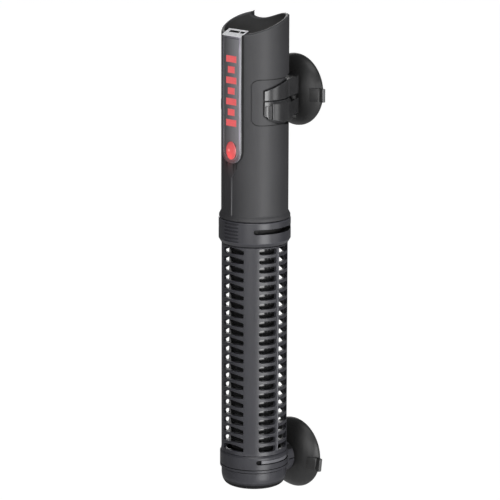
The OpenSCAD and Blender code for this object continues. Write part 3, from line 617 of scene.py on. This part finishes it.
# outlines as radius and distance from the pane; the pull tab turns by so many degrees on each cup
cup = {"dome": [(6.8, 8.5), (12, 7.8), (18.2, 5.3), (20, 1)], "domeSteps": 20,
       "inside": [(18.4, 0), (14.5, 2.3), (7, 3.4), (0, 3.4)], "insideSteps": 16,
       "stem": [(0, 14.8), (3.1, 14.8), (3.9, 14), (3.9, 13.3), (2.6, 12.9), (2.6, 9.5), (2.8, 9.2),
                (6, 9.2), (6.5, 9), (6.7, 8.7)],
       "lip": [(20.05, 0.6), (20, 0.25), (19.6, 0)],
       "tab": [(14.8, 5.4), (15.3, 6.2), (19.5, 4), (20, 3.2), (20.4, 3.2), (20.8, 3.9), (22.5, 3.6),
               (22.85, 3.2), (22.75, 1.6), (19.5, 1.2), (18.5, 2.2)],
       "tabWidth": 7.4, "tabDrop": 0.9, "tabEdge": 0.22, "tabEnd": 22.4,
       "turn": {"upper_cup": 0, "lower_cup": 6}, "around": 128, "sharp": 50, "slot": {"tabEnd": 1}}


def pullTab(centre, turn):  # in its place beside the cup's rim, its end in a tone of its own
    tab = extruded([(x, -d) for x, d in cup["tab"]], cup["tabWidth"])
    bmesh.ops.translate(tab, verts=tab.verts, vec=(0, 0, -cup["tabDrop"] * mm))
    bmesh.ops.bevel(tab, geom=tab.edges[:], offset=cup["tabEdge"] * mm, segments=3, profile=0.5,
                    affect="EDGES", clamp_overlap=True, material=-1)
    for face in tab.faces:
        atEnd = face.calc_center_median().x > cup["tabEnd"] * mm
        face.material_index = cup["slot"]["tabEnd"] if atEnd else 0
    tab.transform(Matrix.Translation(centre) @ Matrix.Rotation(radians(turn), 4, "Y"))
    mesh = bpy.data.meshes.new("tab")
    tab.to_mesh(mesh)
    tab.free()
    return mesh


def makeCups():
    for node, turn in cup["turn"].items():
        low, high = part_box(node)
        centre = Vector((0, high.y, (low.z + high.z) / 2))
        dome, inside = arc(cup["dome"], cup["domeSteps"]), arc(cup["inside"], cup["insideSteps"])
        bm = spun(cup["stem"] + dome + cup["lip"] + inside, centre, (0, -1, 0), cup["around"])
        bm.from_mesh(pullTab(centre, turn))
        finished(node + "Finished", node, bm, [rubber, tabRubber], sharp=cup["sharp"])
    print("cups made")


# smoked glass with faint lime marks
def smokedGlass(name):
    f = Finish(name, IOR=1.5, Coat_Weight=0.6, Coat_Roughness=0.02)
    film = f.noise(f.spot((70, 70, 22)), 1, 4, 0.6)
    f.set("Base Color", f.blend(film, grey(0.008), grey(0.02, 0.06)))
    f.set("Roughness", 0.07 + f.ramp(film, (0.45, 0), (0.8, 1)) * 0.16)
    f.bump(film, 0.05, 0.2)
    return f.material


def makeTube():
    glass = smokedGlass("smokedGlass")
    finished("glassTube", "glass_tube", mergedCopy("glass_tube"), [glass], turned=True)
    finished("cableGland", "cable_gland", mergedCopy("cable_gland"), [rubber])
    print("tube and gland made")


# the small parts inside: what each is made of, and each finish's two tones, roughness, grain and metal
inner = {"finishes": {"greyNylon": ((0.3, 0.3, 0.32), (0.36, 0.36, 0.38), 0.45),
                      "boardGreen": ((0.02, 0.11, 0.05), (0.03, 0.15, 0.07), 0.35, 500),
                      "yellowCase": ((0.42, 0.32, 0.05), (0.5, 0.38, 0.07), 0.4),
                      "greenCase": ((0.04, 0.2, 0.08), (0.05, 0.25, 0.1), 0.4),
                      "blackResin": ((0.02, 0.02, 0.02), (0.03, 0.03, 0.03), 0.3),
                      "creamCeramic": ((0.7, 0.66, 0.58), (0.8, 0.77, 0.7), 0.7, 200),
                      "drawnWire": ((0.45, 0.43, 0.4), (0.55, 0.52, 0.48), 0.3, 900, 1.0),
                      "redJacket": ((0.42, 0.04, 0.03), (0.5, 0.06, 0.05), 0.5),
                      "canMetal": ((0.65, 0.65, 0.67), (0.75, 0.75, 0.77), 0.3, 500, 1.0)},
         "parts": {"lamp": "printedRed", "gland_nut": "greyNylon", "control_board": "boardGreen",
                   "board_components": "yellowCase", "terminal_block": "greenCase",
                   "temperature_sensor": "blackResin", "tube_seal": "rubber", "o_ring": "rubber",
                   "seal_clamp_ring": "greyNylon", "element_core": "creamCeramic",
                   "heating_coil": "drawnWire", "lead_wires": "redJacket", "thermal_fuse": "canMetal",
                   "end_cushion": "rubber"}}


# one recipe for them: a base, a second tone in patches, and a grain
def plainPart(name, base, second, rough, scale=300, metal=0.0):
    f = Finish(name, Metallic=metal)
    patch = f.noise(f.spot(), scale, 3, 0.6)
    f.set("Base Color", f.blend(patch, base + (1,), second + (1,)))
    f.set("Roughness", rough + patch * 0.12)
    f.bump(patch + f.noise(f.spot(), scale * 6, 2), 0.12, 0.06)
    return f.material


def colourInside():
    made = {name: plainPart(name, *values) for name, values in inner["finishes"].items()}
    made["rubber"], made["printedRed"] = rubber, red
    for node, name in inner["parts"].items():
        slots = nodes[node].data.materials
        slots.clear()
        slots.append(made[name])
    print("inner parts coloured")


# the heater hangs well clear of the floor, so the low lamps reach under it; floor size in metres
studio = {"floorDrop": 450, "floorSize": 6, "paper": (0.8, 0.84), "paperGlow": 1.25, "paperShare": 0.8,
          "around": 0.03, "mirrored": 0.1, "aim": 120}
lamps = [  # azimuth from the front, height above the aim, distance, width and height, watts
    {"name": "key", "azimuth": 75, "up": -0.08, "away": 0.9, "size": (0.5, 0.72), "watts": 6.2},
    {"name": "fill", "azimuth": 28, "up": 0.2, "away": 1.0, "size": (0.5, 0.8), "watts": 4.2},
    {"name": "left", "azimuth": -5, "up": 0.1, "away": 1.0, "size": (0.4, 0.9), "watts": 0.9},
    {"name": "side", "azimuth": 115, "up": 0.1, "away": 0.9, "size": (0.3, 0.8), "watts": 1.3},
    {"name": "back", "azimuth": 228, "up": 0.3, "away": 1.1, "size": (0.5, 0.9), "watts": 4.0},
    {"name": "top", "azimuth": 50, "up": 1.1, "away": 0.5, "size": (0.6, 0.6), "watts": 4.0}]
tipGlow = {"at": (-2.5, -22.5, 186), "watts": 0.0012, "radius": 2, "colour": (1, 0.12, 0.1)}


def backdropSeen(f):  # the pale background shows to the camera, and faintly in gloss and clear parts
    rays = [f.add("ShaderNodeLightPath", output="Is %s Ray" % kind) for kind in
            ("Camera", "Glossy", "Transmission")]
    return rays[0] + (rays[1] + rays[2]) * studio["mirrored"]


def makeFloor():
    bm = bmesh.new()
    bmesh.ops.create_grid(bm, x_segments=1, y_segments=1, size=studio["floorSize"])
    bmesh.ops.translate(bm, verts=bm.verts, vec=(0, 0, frameLow.z - studio["floorDrop"] * mm))
    mesh = bpy.data.meshes.new("floor")
    bm.to_mesh(mesh)
    bm.free()
    floor = bpy.data.objects.new("floor", mesh)
    bpy.context.scene.collection.objects.link(floor)
    f = Finish("palePaper", Roughness=0.9)
    darker, paler = studio["paper"]
    f.set("Base Color", f.blend(f.noise(f.spot(), 8, 2), grey(darker), grey(paler)))
    white = f.add("ShaderNodeEmission", {}, {"Color": (1, 1, 1, 1), "Strength": studio["paperGlow"]})
    f.over("Material Output", Wire(f, f.shader.outputs[0]), white, backdropSeen(f) * studio["paperShare"])
    mesh.materials.append(f.material)


def makeWorld():
    world = bpy.data.worlds.new("studio")
    bpy.context.scene.world = world
    world.use_nodes = True
    f = Finish("studio", world.node_tree)
    dim = f.add("ShaderNodeBackground", {}, {0: (0.9, 0.92, 1, 1), 1: studio["around"]})
    bright = f.add("ShaderNodeBackground", {}, {0: (1, 1, 1, 1), 1: 1.0})
    f.over("World Output", dim, bright, backdropSeen(f))


def makeLamps():
    collection = bpy.context.scene.collection
    aim = place(0, 0, studio["aim"])
    for lamp in lamps:
        light = bpy.data.objects.new(lamp["name"], bpy.data.lights.new(lamp["name"], "AREA"))
        light.data.shape, light.data.size, light.data.size_y = "RECTANGLE", *lamp["size"]
        light.data.energy = lamp["watts"]
        collection.objects.link(light)
        light.visible_camera = False
        a = radians(lamp["azimuth"])
        light.location = aim + Vector((sin(a) * lamp["away"], -cos(a) * lamp["away"], lamp["up"]))
        light.rotation_euler = (aim - light.location).to_track_quat("-Z", "Y").to_euler()
    glow = bpy.data.objects.new("tipGlow", bpy.data.lights.new("tipGlow", "POINT"))
    glow.location = place(*tipGlow["at"])  # the lit lens, on the housing below it
    glow.data.energy, glow.data.shadow_soft_size = tipGlow["watts"], tipGlow["radius"] * mm
    glow.data.color, glow.visible_glossy = tipGlow["colour"], False
    collection.objects.link(glow)


def makeStudio():
    bpy.context.scene.view_settings.view_transform = "Standard"
    makeFloor()
    makeWorld()
    makeLamps()
    print("studio made")


makeCamera()
makeStudio()

paintedShade = mouldedPlastic("paintedShade", 0.004, 0.6)  # painted shade: a near-black finish for surfaces in deep shade, on several pieces
rubber = softRubber("rubber", 0.01)
tabRubber = softRubber("tabRubber", 0.09)
red = printedRed("printedRed")

makeHead()
makeHolder()
makeGuard()
makeBar()
makeLens()
makeInlay()
makeCups()
makeTube()
colourInside()
